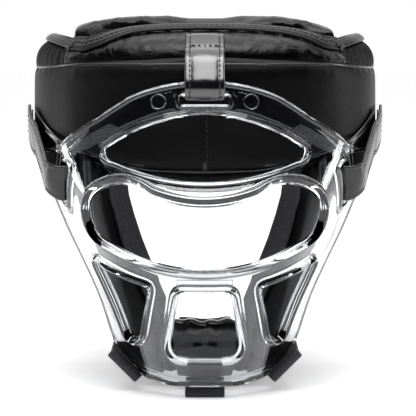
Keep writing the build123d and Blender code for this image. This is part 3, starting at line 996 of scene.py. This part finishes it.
def buildMask():
    look = maskLook
    flat = Unrolled()
    outer, holes = maskOutlines(flat)
    loops = [evenLoop(outer, look["edgeStep"], look["round"])]
    for hole in holes:
        loops.append(evenLoop(hole, look["edgeStep"], look["round"] * (0.75 if len(hole) < 8 else 0.9)))
    # every outline turns so that the wall lies on its left
    for i, loop in enumerate(loops):
        area = np.sum(loop[:, 0] * np.roll(loop[:, 1], -1) - np.roll(loop[:, 0], -1) * loop[:, 1])
        if (area > 0) != (i == 0):
            loops[i] = loop[::-1]
    edge = KDTree(sum(len(loop) * 4 for loop in loops))
    sizes = []
    for loop, size in zip(loops, look["sizes"]):
        for k in range(4):
            for p in loop * (1 - k / 4) + np.roll(loop, -1, 0) * (k / 4):
                edge.insert((p[0], p[1], 0), len(sizes))
                sizes.append(size)
    edge.balance()
    coords, edges, leftward = [], [], []
    for loop in loops:
        first, count = len(coords), len(loop)
        ahead = np.roll(loop, -1, 0) - np.roll(loop, 1, 0)
        normal = np.column_stack([-ahead[:, 1], ahead[:, 0]]) / np.linalg.norm(ahead, axis=1)[:, None]
        coords += [tuple(p) for p in loop]
        leftward += [tuple(q) for q in normal]
        edges += [(first + i, first + (i + 1) % count) for i in range(count)]
    rimCount = len(coords)
    taken = {}

    def isFree(p, gap):
        cell = (int(p[0] // 1.5), int(p[1] // 1.5))
        for i in (-1, 0, 1):
            for j in (-1, 0, 1):
                for q in taken.get((cell[0] + i, cell[1] + j), ()):
                    if (q[0] - p[0]) ** 2 + (q[1] - p[1]) ** 2 < gap * gap:
                        return False
        taken.setdefault(cell, []).append(p)
        return True

    for offset in look["rings"]:
        for loop in loops:
            ahead = np.roll(loop, -1, 0) - np.roll(loop, 1, 0)
            normal = np.column_stack([-ahead[:, 1], ahead[:, 0]]) / np.linalg.norm(ahead, axis=1)[:, None]
            for p in loop + normal * offset:
                if edge.find((p[0], p[1], 0))[2] > offset * 0.94 and isFree(tuple(p), 0.62):
                    coords.append(tuple(p))
    reach = max(abs(p[0]) for p in coords)
    step = look["gridStep"]
    row = 0
    v = 4.0
    while v < 202:
        for u in np.arange(-reach + (row % 2) * step / 2, reach, step):
            if edge.find((u, v, 0))[2] > look["rings"][-1] + 1.2 and isFree((u, v), 1.3):
                coords.append((u, v))
        row += 1
        v += step * 0.866
    points, _, triangles, origins, _, _ = delaunay_2d_cdt([Vector(p) for p in coords], edges, [], 0, 1e-5)
    points = [tuple(p) for p in points]
    centres = np.array([np.mean([points[i] for i in t], axis=0) for t in triangles])
    keep = insideLoop(centres, loops[0])
    for loop in loops[1:]:
        keep &= ~insideLoop(centres, loop)
    triangles = [t for t, k in zip(triangles, keep) if k]
    # the triangulation renumbers its points, so the rim's directions follow by their origins
    directions = {}
    for i, source in enumerate(origins):
        if source and min(source) < rimCount:
            directions[i] = leftward[min(source)]
    used = sorted({i for t in triangles for i in t})
    index = {old: new for new, old in enumerate(used)}
    outside, inside = [], []
    for i in used:
        u, v = points[i]
        _, nearest, d = edge.find((u, v, 0))
        here = flat.point(u, v)
        across = flat.point(u + 0.6, v) - flat.point(u - 0.6, v)
        upward = flat.point(u, v + 0.6) - flat.point(u, v - 0.6)
        normal = across.cross(upward).normalized()
        if i in directions:
            d = 0.0
        high = beadHeight(d, look, sizes[nearest])
        low = look["beadInside"] * math.sin(min(1, d / 5) * math.pi) - 0.9 * (1 - min(1, d / 1.6)) ** 2
        outside.append((here + normal * high) * mm)
        above = clamp((v - 148) / 30)
        thin = look["browThinner"] * above * above * (3 - 2 * above)
        inside.append((here - normal * (look["thickness"] - thin + low)) * mm)
    count = len(used)
    verts = outside + inside
    faces = []
    edgeUse = {}
    for t in triangles:
        a, b, c = (index[i] for i in t)
        faces.append((a, b, c))
        faces.append((c + count, b + count, a + count))
        for p, q in ((a, b), (b, c), (c, a)):
            edgeUse[(p, q)] = edgeUse.get((p, q), 0) + 1
    borders = [pair for pair in edgeUse if (pair[1], pair[0]) not in edgeUse]
    middle = {}
    for p, q in borders:
        for corner in (p, q):
            if corner in middle:
                continue
            u, v = points[used[corner]]
            du, dv = directions.get(used[corner], (0, 0))
            away = (flat.point(u - du * 0.6, v - dv * 0.6) - flat.point(u, v)) * mm
            middle[corner] = len(verts)
            push = away.normalized() * 0.9 * mm if away.length > 1e-7 else Vector((0, 0, 0))
            verts.append((verts[corner] + verts[corner + count]) / 2 + push)
    for p, q in borders:
        faces.append((q, p, middle[p], middle[q]))
        faces.append((middle[q], middle[p], p + count, q + count))
    addPiece("clear_mask", verts, faces, clearShell, "mask", "mask_shell")
    print("mask wall", len(verts), "points")
    return flat


def buildMaskBar(flat):
    # a plain raised bar over the mouth opening
    low, high, reach = 73.5, 78.5, 17.5
    verts, faces = [], []
    columns, rows = 40, 8
    for j in range(rows + 1):
        for i in range(columns + 1):
            u, v = -reach + 2 * reach * i / columns, low + (high - low) * j / rows
            edge = min(reach - abs(u), v - low, high - v)
            here = flat.point(u, v)
            normal = Vector((here.x * 2, here.y, 0)).normalized()
            verts.append((here + normal * (0.15 + 1.0 * math.sin(min(1, edge / 1.6) * math.pi / 2))) * mm)
    for j in range(rows):
        for i in range(columns):
            a = j * (columns + 1) + i
            faces.append((a, a + 1, a + columns + 2, a + columns + 1))
    piece = addPiece("clear_mask_bar", verts, faces, clearShell, "mask", "mask_front_bar")
    solidify(piece, 0.4)
    bakeModifiers(piece)


def buildMaskMarks(flat):
    # two small round moulded rings beside the brow slot
    for tag, (x, z) in zip(("right", "left"), maskLook["marks"]):
        u, v = flat.fromFront(x, z)
        radius = maskLook["markRadius"]
        turns = [2 * math.pi * k / 32 for k in range(32)]
        ring = [flat.point(u + radius * math.cos(a), v + radius * math.sin(a)) for a in turns]
        pipe(f"clear_mask_mark_{tag}", [p * mm for p in ring], 0.32, clearShell, "mask",
             closed=True, step=0.9)


maskFlat = buildMask()
buildMaskBar(maskFlat)
buildMaskMarks(maskFlat)
print("mask made")


domeLook = dict(base=202, rise=34, halfWidth=112, halfDepth=104, power=3.5)
frontPanel = dict(turn=51, low=0.08, sagTurn=-36, sag=0.1, puff=2.4, thickness=3.2)
sidePanel = dict(start=47, end=126, top=0.5, puff=2.0, folds=17, foldDepth=1.1, thickness=3.0)
bindingLook = dict(width=7.5, thickness=2.2, piping=1.1)


def domePoint(turn, share, out=0.0):
    # a point on the crown at a turn round it and a share of its rise, moved outwards
    look = domeLook

    def at(turn, share):
        scale = (1 - min(max(share, 0), 0.985) ** look["power"]) ** (1 / look["power"])
        x, y = planPoint(look["halfWidth"] * scale, look["halfDepth"] * scale, turn)
        return Vector((x, y, look["base"] + look["rise"] * share))

    here = at(turn, share)
    across = at(turn + 1, share) - at(turn - 1, share)
    upward = at(turn, min(share + 0.02, 0.98)) - at(turn, share - 0.02)
    normal = across.cross(upward).normalized()
    return (here + normal * out) * mm, normal


def shareAtDepth(turn, depth):
    # how far up the crown its surface reaches a given depth forward of the middle
    reach = domeLook["halfDepth"] * abs(math.cos(math.radians(turn))) ** (2 / 2.4)
    scale = min(1, depth / reach)
    return (1 - scale ** domeLook["power"]) ** (1 / domeLook["power"])


def panelMesh(name, turns, shares, out, thickness, material, node):
    # a grid over the crown, given the turns and for each its low and high share, made into a padded panel
    rows = 18
    verts = []
    for turn in turns:
        low, high = shares(turn)
        verts += [domePoint(turn, low + (high - low) * j / rows, out(turn, j / rows))[0] for j in range(rows + 1)]
    piece = addPiece(name, verts, gridFaces(len(turns) - 1, rows), material, "guard", node)
    solidify(piece, thickness)
    subdivide(piece)
    return piece


def panelTop(turn):
    look = frontPanel
    share = shareAtDepth(turn, 78) if abs(turn) < 40 else max(shareAtDepth(turn, 78), 0.6 - 0.004 * (abs(turn) - 40))
    return share - look["sag"] * math.exp(-((turn - look["sagTurn"]) / 6) ** 2)


def bindingStations(turns, share, lift):
    points = [domePoint(turn, share(turn), lift) for turn in turns]
    stations = []
    for i, (point, normal) in enumerate(points):
        ahead = points[min(i + 1, len(points) - 1)][0]
        behind = points[max(i - 1, 0)][0]
        along = (ahead - behind).normalized()
        up = (normal - along * normal.dot(along)).normalized()
        stations.append((point, up, along.cross(up)))
    return stations


def buildCrown():
    look = frontPanel
    turns = np.linspace(-look["turn"], look["turn"], 66)

    def puffed(turn, q):
        crease = 0.5 * math.sin(turn * 0.9) * math.sin(q * 7) + 0.35 * math.sin(turn * 2.3 + q * 3)
        return look["puff"] * math.sin(min(1, q * 1.1) * math.pi) * (0.8 + 0.2 * math.cos(turn / 9)) + crease * q

    panelMesh("crown_front_pad", turns, lambda turn: (look["low"], panelTop(turn)), puffed,
              look["thickness"], crownSkin, "crown_front_panel")
    panelMesh("crown_front_cloth", turns,
              lambda turn: (look["low"] + 0.1, shareAtDepth(turn, 76)), lambda turn, q: -3.6 + 1.6 * q,
              0.8, creamCloth, "crown_front_lining")
    # binding: a folded strip with a stitched groove along each edge and piping under its front
    edge = bindingLook
    stations = bindingStations(np.linspace(-look["turn"], look["turn"], 90), panelTop, 0.6)
    ribbon("crown_front_edge", stations, edge["width"], edge["thickness"], pipingSkin, "guard",
           "crown_front_binding", groove=0.4, roundEnd=False)
    strapStitches("crown_edge_stitches", stations, edge["width"] + 1.4, edge["thickness"], "guard", across=False,
                  yarn=paleThread)
    for tag, share, lift in (("a", -0.62, 0.9), ("b", 0.6, 0.6)):
        path = [point + across * edge["width"] * share * mm + up * lift * mm for point, up, across in stations]
        pipe("crown_front_piping_" + tag, path, edge["piping"], pipingSkin, "guard", pucker=0.1)


def buildSidePanels():
    look = sidePanel
    turns = np.linspace(look["start"], look["end"], 90)

    def top(turn):
        share = (turn - look["start"]) / (look["end"] - look["start"])
        return look["top"] + 0.16 * math.sin(share * math.pi) ** 0.6

    def gathered(turn, q):
        # folds gathered into the top edge, deeper towards the front
        share = (turn - look["start"]) / (look["end"] - look["start"])
        window = math.sin(clamp(share) * math.pi) ** 0.5
        fold = math.sin(share * look["folds"] * 2 * math.pi + 1.5 * math.sin(q * 3))
        puff = look["puff"] * math.sin(min(1, 0.15 + q * 0.95) * math.pi) ** 0.8 * window
        return puff + look["foldDepth"] * fold * (0.35 + 0.65 * q) * window

    left = panelMesh("left_crown_gusset", turns, lambda turn: (0.02, top(turn)), gathered, look["thickness"],
                     padSkin, "left_crown_side_panel")
    mirroredPiece(left, "guard", "right_crown_side_panel")
    stations = bindingStations(np.linspace(look["start"], look["end"], 60), top, 0.9)
    strip = ribbon("left_crown_edge", stations, 6.5, 2.2, pipingSkin, "guard", groove=0.3, roundEnd=False)
    mirroredPiece(strip, "guard")
    for row in strapStitches("left_crown_edge_stitches", stations, 8.5, 2.2, "guard", across=False,
                             yarn=paleThread):
        mirroredPiece(row, "guard")


browLook = dict(width=25, thickness=2.5,
                path=[(-97, 227.0), (-102, 222.6), (-108, 218.9), (-117, 218.0), (-124.2, 217.2), (-129.8, 212.2),
                      (-134.2, 205), (-137.4, 199), (-138.3, 194.6), (-136.9, 191.2), (-133.2, 189.9),
                      (-129.4, 191.3), (-127.7, 195), (-128.6, 199.6), (-130.6, 204)])
topLook = dict(width=25, thickness=2.5, path=[(-70.6, 229.9), (-61, 233), (-50, 236), (-38, 237.6), (-27, 238.3),
                                               (-8, 238.4), (12.5, 238.35)])
templeLook = dict(centre=(92.5, -89.0, 137.1), lean=24, tilt=3, inner=8.0, stretch=0.6, slack=1.5,
                  thickness=2.0, width=25, narrow=0.18, climb=2.0, offset=1.9, endOffset=1.3, rise=0.3,
                  level=151.5, front=-82, tailStart=66, tailEnd=84)
rearLook = dict(width=38, thickness=2.5, offset=2.6, start=164, end=200, middle=145)
webLook = dict(width=25, roll=3.2, thick=2.2, tail=44, jawTail=78, jawLift=5.0, jawSlide=1.6, jawRoll=3.9)


def sideStations(path, step=1.6):
    points = evenPath([Vector((0, y * mm, z * mm)) for y, z in path], step * mm)
    across = Vector((1, 0, 0))
    stations = []
    for i, point in enumerate(points):
        along = (points[min(i + 1, len(points) - 1)] - points[max(i - 1, 0)]).normalized()
        stations.append((point, along.cross(across).normalized(), across))
    return stations


def buildBrowStrap():
    look = browLook
    stations = sideStations(look["path"])
    ribbon("brow_strap_leather", stations, look["width"], look["thickness"], browSkin, "brow_strap",
           "brow_strap", groove=0.45)
    visible = [s for s in stations if s[0].z > 0.189 and s[0].y < -0.09][:44]
    strapStitches("brow_strap_stitches", visible, look["width"], look["thickness"], "brow_strap", (1, 1), False)
    # rows of stitches across the strap at the edge of the crown
    point, up, across = stations[8]
    for tag, shift in (("c", 0.0), ("d", 2.4)):
        row = [point + up * 2.55 * mm + across * x * mm + across.cross(up) * shift * mm for x in (-9, -3, 3, 9)]
        stitchRow("brow_strap_stitches_" + tag, row, up, "brow_strap")


def buildTopStrap():
    look = topLook
    stations = sideStations(look["path"], 2.0)
    ribbon("top_strap_leather", stations, look["width"], look["thickness"], padSkin, "top_strap",
           "top_strap", groove=0.4)
    strapStitches("top_strap_stitches", stations, look["width"], look["thickness"], "top_strap", (2, 3), True)


def buildTempleStraps():
    look = templeLook
    lean, tilt = math.radians(look["lean"]), math.radians(look["tilt"])
    centre = Vector(look["centre"])
    back = Vector((0, math.cos(lean), math.sin(lean)))
    axis = Vector((-math.sin(tilt), -math.sin(lean), math.cos(lean))).normalized()
    out = back.cross(axis).normalized()
    points = []
    for turn in range(100, 361, 20):
        angle = math.radians(turn)
        wide = look["inner"] + (look["stretch"] if math.cos(angle) > 0 else look["slack"])
        points.append(centre + out * wide * math.cos(angle) + back * look["inner"] * math.sin(angle))
    for turn in np.linspace(look["tailStart"], look["tailEnd"], 9):
        share = (turn - look["tailStart"]) / (look["tailEnd"] - look["tailStart"])
        offset = look["offset"] + (look["endOffset"] - look["offset"]) * share
        x, y = bandPoint(turn, offset)
        points.append(Vector((x, y, look["level"] + look["rise"] * (y - look["front"]))))
    path = evenPath([p * mm for p in points], 1.8 * mm)
    stations = []
    for i, point in enumerate(path):
        along = (path[min(i + 1, len(path) - 1)] - path[max(i - 1, 0)]).normalized()
        share = clamp((point.y / mm + 80) / 30)
        across = axis.lerp(Vector((0, -math.sin(lean), math.cos(lean))), share).normalized()
        across = (across - along * across.dot(along)).normalized()
        # the strap draws in and climbs on the side where it leaves the ring for the band
        turned = (1 - share) * clamp((point / mm - centre).dot(out) / 9)
        stations.append((point + across * look["climb"] * turned * mm, along.cross(across).normalized(),
                         across * (1 - look["narrow"] * turned)))
    strap = ribbon("left_temple_leather", stations, look["width"], look["thickness"], strapSkin,
                   "left_temple_strap", "left_temple_strap")
    mirroredPiece(strap, "right_temple_strap", "right_temple_strap")
    tail = [s for s in stations if s[0].y > -0.084 and s[0].x > 0.095]
    for row in strapStitches("left_temple_stitches", tail, look["width"], look["thickness"], "left_temple_strap",
                             (1, 2), True):
        mirroredPiece(row, "right_temple_strap")


tabLook = dict(start=48, end=72, low=(152.5, 152), high=(159.5, 180), out=0.3, thickness=1.0)


def buildTempleTabs():
    # a stitched leather tab on each side of the band, where the temple strap runs down to the mask
    look = tabLook
    columns, rows = 30, 14
    verts = []
    for i in range(columns + 1):
        share = i / columns
        turn = look["start"] + (look["end"] - look["start"]) * share
        for j in range(rows + 1):
            low = look["low"][0] + (look["low"][1] - look["low"][0]) * share
            high = look["high"][0] + (look["high"][1] - look["high"][0]) * share
            rim = min(i, j, columns - i, rows - j)
            out = look["out"] + look["thickness"] + (0.25 if rim > 2 else -0.2 if rim == 2 else 0.05)
            x, y = bandPoint(turn, out)
            verts.append(Vector((x, y, low + (high - low) * j / rows)) * mm)
    tab = addPiece("left_temple_tab", verts, gridFaces(columns, rows), strapSkin, "guard")
    solidify(tab, look["thickness"])
    bakeModifiers(tab)
    mirroredPiece(tab, "guard")
    seams = [[2 * (rows + 1) + j for j in range(2, rows - 1)], [i * (rows + 1) + 2 for i in range(2, columns - 1)]]
    for tag, line in zip("ab", seams):
        points = [verts[k] for k in line]
        lift = [Vector((p.x, p.y, 0)).normalized() for p in points]
        row = stitchRow(f"left_temple_tab_stitches_{tag}", points, lift, "guard")
        mirroredPiece(row, "guard")


def buildRearStrap():
    look = rearLook
    stations = []
    for turn in np.linspace(look["start"], look["end"], 44):
        x, y = bandPoint(turn, look["offset"])
        ahead, behind = (bandPoint(turn + step, look["offset"]) for step in (0.5, -0.5))
        along = Vector((ahead[0] - behind[0], ahead[1] - behind[1], 0)).normalized()
        across = Vector((0, 0, 1))
        stations.append((Vector((x, y, look["middle"])) * mm, along.cross(across).normalized(), across))
    ribbon("rear_strap_leather", stations, look["width"], look["thickness"], strapSkin, "rear_strap",
           "rear_strap", groove=0.4)
    strapStitches("rear_strap_stitches", stations, look["width"], look["thickness"], "rear_strap", (1, 3), True)


def rolledStrap(name, width, tail, roll, place):
    # webbing seen edge on: a rolled end and a flat tail, with softly rounded selvedges
    look = webLook
    half = look["thick"] / 2
    outline = [(tail, -half * 0.6), (tail, half * 0.6), (tail - 0.6, half)]
    outline += [(x, half + 0.12 * math.sin(x * 2.6)) for x in np.linspace(tail - 2, roll + 1.5, 26)]
    outline += [(roll * math.cos(t), roll * math.sin(t)) for t in np.linspace(0.55, 2 * math.pi - 0.55, 26)]
    outline += [(x, -half - 0.12 * math.sin(x * 2.6)) for x in np.linspace(roll + 1.5, tail - 0.6, 26)]
    verts = []
    stops = (-1, -0.985, -0.94, -0.5, 0, 0.5, 0.94, 0.985, 1)
    squeeze = (0.62, 0.86, 1, 1, 1, 1, 1, 0.86, 0.62)
    for stop, size in zip(stops, squeeze):
        verts += [place(stop * width / 2, y if y > roll else y * size, z * size) for y, z in outline]
    faces = tubeFaces(len(outline), len(stops))
    outwardFaces(addPiece(name + "_web", verts, faces, webbing, name, name))


def buildWebbing():
    look = webLook
    rolledStrap("chin_strap", look["width"], look["tail"], look["roll"],
                lambda x, y, z: Vector((x, y - 127, z + 3.25)) * mm)
    turn = math.sqrt(0.5)

    def sloped(side):
        lift, slide = look["jawLift"], look["jawSlide"]
        return lambda x, y, z: Vector((side * (53.5 + (x + slide - z - lift) * turn), y - 103,
                                       12.5 + (x + slide + z + lift) * turn)) * mm

    rolledStrap("left_jaw_strap", look["width"], look["jawTail"], look["jawRoll"], sloped(1))
    rolledStrap("right_jaw_strap", look["width"], look["jawTail"], look["jawRoll"], sloped(-1))


def finishNodes():
    # the hidden foam cores and the tape patches keep their CAD shapes
    for name, node in bpy.data.objects.items():
        if "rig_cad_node" not in node or node.hide_render:
            continue
        skin = foamCore if name.endswith("_foam") else loopPile if name.endswith("loop_patch") else hookPile
        for place in node.material_slots:
            place.material = skin


def earRings(pad):
    # a soft rolled rim round each ear hole
    middle, size = earHole["middle"], earHole["size"]
    rays = []
    reach, radius = (size[0] - size[1]) / 2, size[1] / 2 + 3.2
    for k in range(40):
        angle = 2 * math.pi * k / 40
        y = middle[0] + radius * math.cos(angle) + math.copysign(reach, math.cos(angle))
        rays.append(((0.3, y * mm, (middle[1] + radius * math.sin(angle)) * mm), (-1, 0, 0)))
    points, normals = surfacePath(pad, rays)
    rim = pipe("left_ear_rim", [p + n * 0.2 * mm for p, n in zip(points, normals)], 1.3, pipingSkin, "guard",
               closed=True, step=2.4, pucker=0.08)
    mirroredPiece(rim, "guard")


buildCrown()
buildSidePanels()
earRings(earPad)
print("crown made")
buildBrowStrap()
buildTopStrap()
buildTempleStraps()
buildTempleTabs()
buildRearStrap()
buildWebbing()
finishNodes()
print("straps made")


stageLook = dict(floor="#f4f4f5", floorGlow=0.34, dark="#141416", ceiling=2.1)


def pressedPaper(name, colour):
    # seamless studio paper: white, with a faint tooth
    material, tree, place = newMaterial(name)
    tooth = addNode(tree, "ShaderNodeTexNoise", {"Scale": 400, "Detail": 3}, {"Vector": place})
    lift = addNode(tree, "ShaderNodeBump", {"Strength": 0.04, "Distance": 0.0005},
                   {"Height": tooth})
    shader = addNode(tree, "ShaderNodeBsdfPrincipled",
                     {"Base Color": toLinear(colour), "Roughness": 0.9, "Emission Color": toLinear(colour),
                      "Emission Strength": stageLook["floorGlow"]}, {"Normal": lift})
    addNode(tree, "ShaderNodeOutputMaterial", {}, {"Surface": shader})
    return material


def buildFloor():
    # a wide sheet of paper, level under the headgear and on to the horizon
    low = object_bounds()[0].z
    mesh = bpy.data.meshes.new("floor")
    mesh.from_pydata([(-8, -8, low), (8, -8, low), (8, 8, low), (-8, 8, low)], [], [(0, 1, 2, 3)])
    mesh.materials.append(pressedPaper("studio_paper", stageLook["floor"]))
    addObject("floor", mesh)


def aimed(thing, place, target):
    thing.location = place
    thing.rotation_euler = (Vector(target) - Vector(place)).to_track_quat("-Z", "Y").to_euler()
    return thing


def areaLight(name, place, target, size, power):
    light = bpy.data.lights.new(name, "AREA")
    light.shape = "RECTANGLE"
    light.size, light.size_y = size
    light.energy = power
    aimed(addObject(name, light), place, target)


def buildStage():
    buildFloor()
    world = bpy.data.worlds.new("studio")
    scene.world = world
    world.use_nodes = True
    tree = world.node_tree
    tree.nodes.clear()
    # white far behind the object and dark everywhere else, so that the black pads stay deep
    place = addNode(tree, "ShaderNodeTexCoord").outputs["Generated"]
    split = addNode(tree, "ShaderNodeSeparateXYZ", {}, {"Vector": place})
    ramp = addNode(tree, "ShaderNodeValToRGB",
                   {"ramp": [(0.62, toLinear(stageLook["dark"])), (0.86, (1.02, 1.02, 1.02, 1))]},
                   {"Fac": split.outputs["Y"]})
    back = addNode(tree, "ShaderNodeBackground", {"Strength": 1.0}, {"Color": ramp})
    addNode(tree, "ShaderNodeOutputWorld", {}, {"Surface": back})
    sky = bpy.data.lights.new("ceiling", "SUN")
    sky.energy = stageLook["ceiling"]
    sky.angle = math.radians(75)
    addObject("ceiling", sky).rotation_euler = (math.radians(-12), 0, 0)
    areaLight("top_box", (0, -0.62, 1.3), (0, -0.1, 0.2), (1.1, 0.8), 14)
    areaLight("left_strip", (-1.0, 0.3, 0.5), (0, 0, 0.12), (0.16, 1.0), 4)
    areaLight("right_strip", (1.0, 0.15, 0.5), (0, 0, 0.12), (0.16, 1.0), 4)
    scene.view_settings.view_transform = "Standard"
    scene.view_settings.look = "None"


def buildCamera():
    lens = bpy.data.cameras.new("camera")
    lens.sensor_width = 36
    lens.lens = 189.5
    scene.camera = aimed(addObject("camera", lens), (0.002, -1.4943, 0.2397), (0.002, 0, 0.109))


buildStage()
buildCamera()
print("stage made")
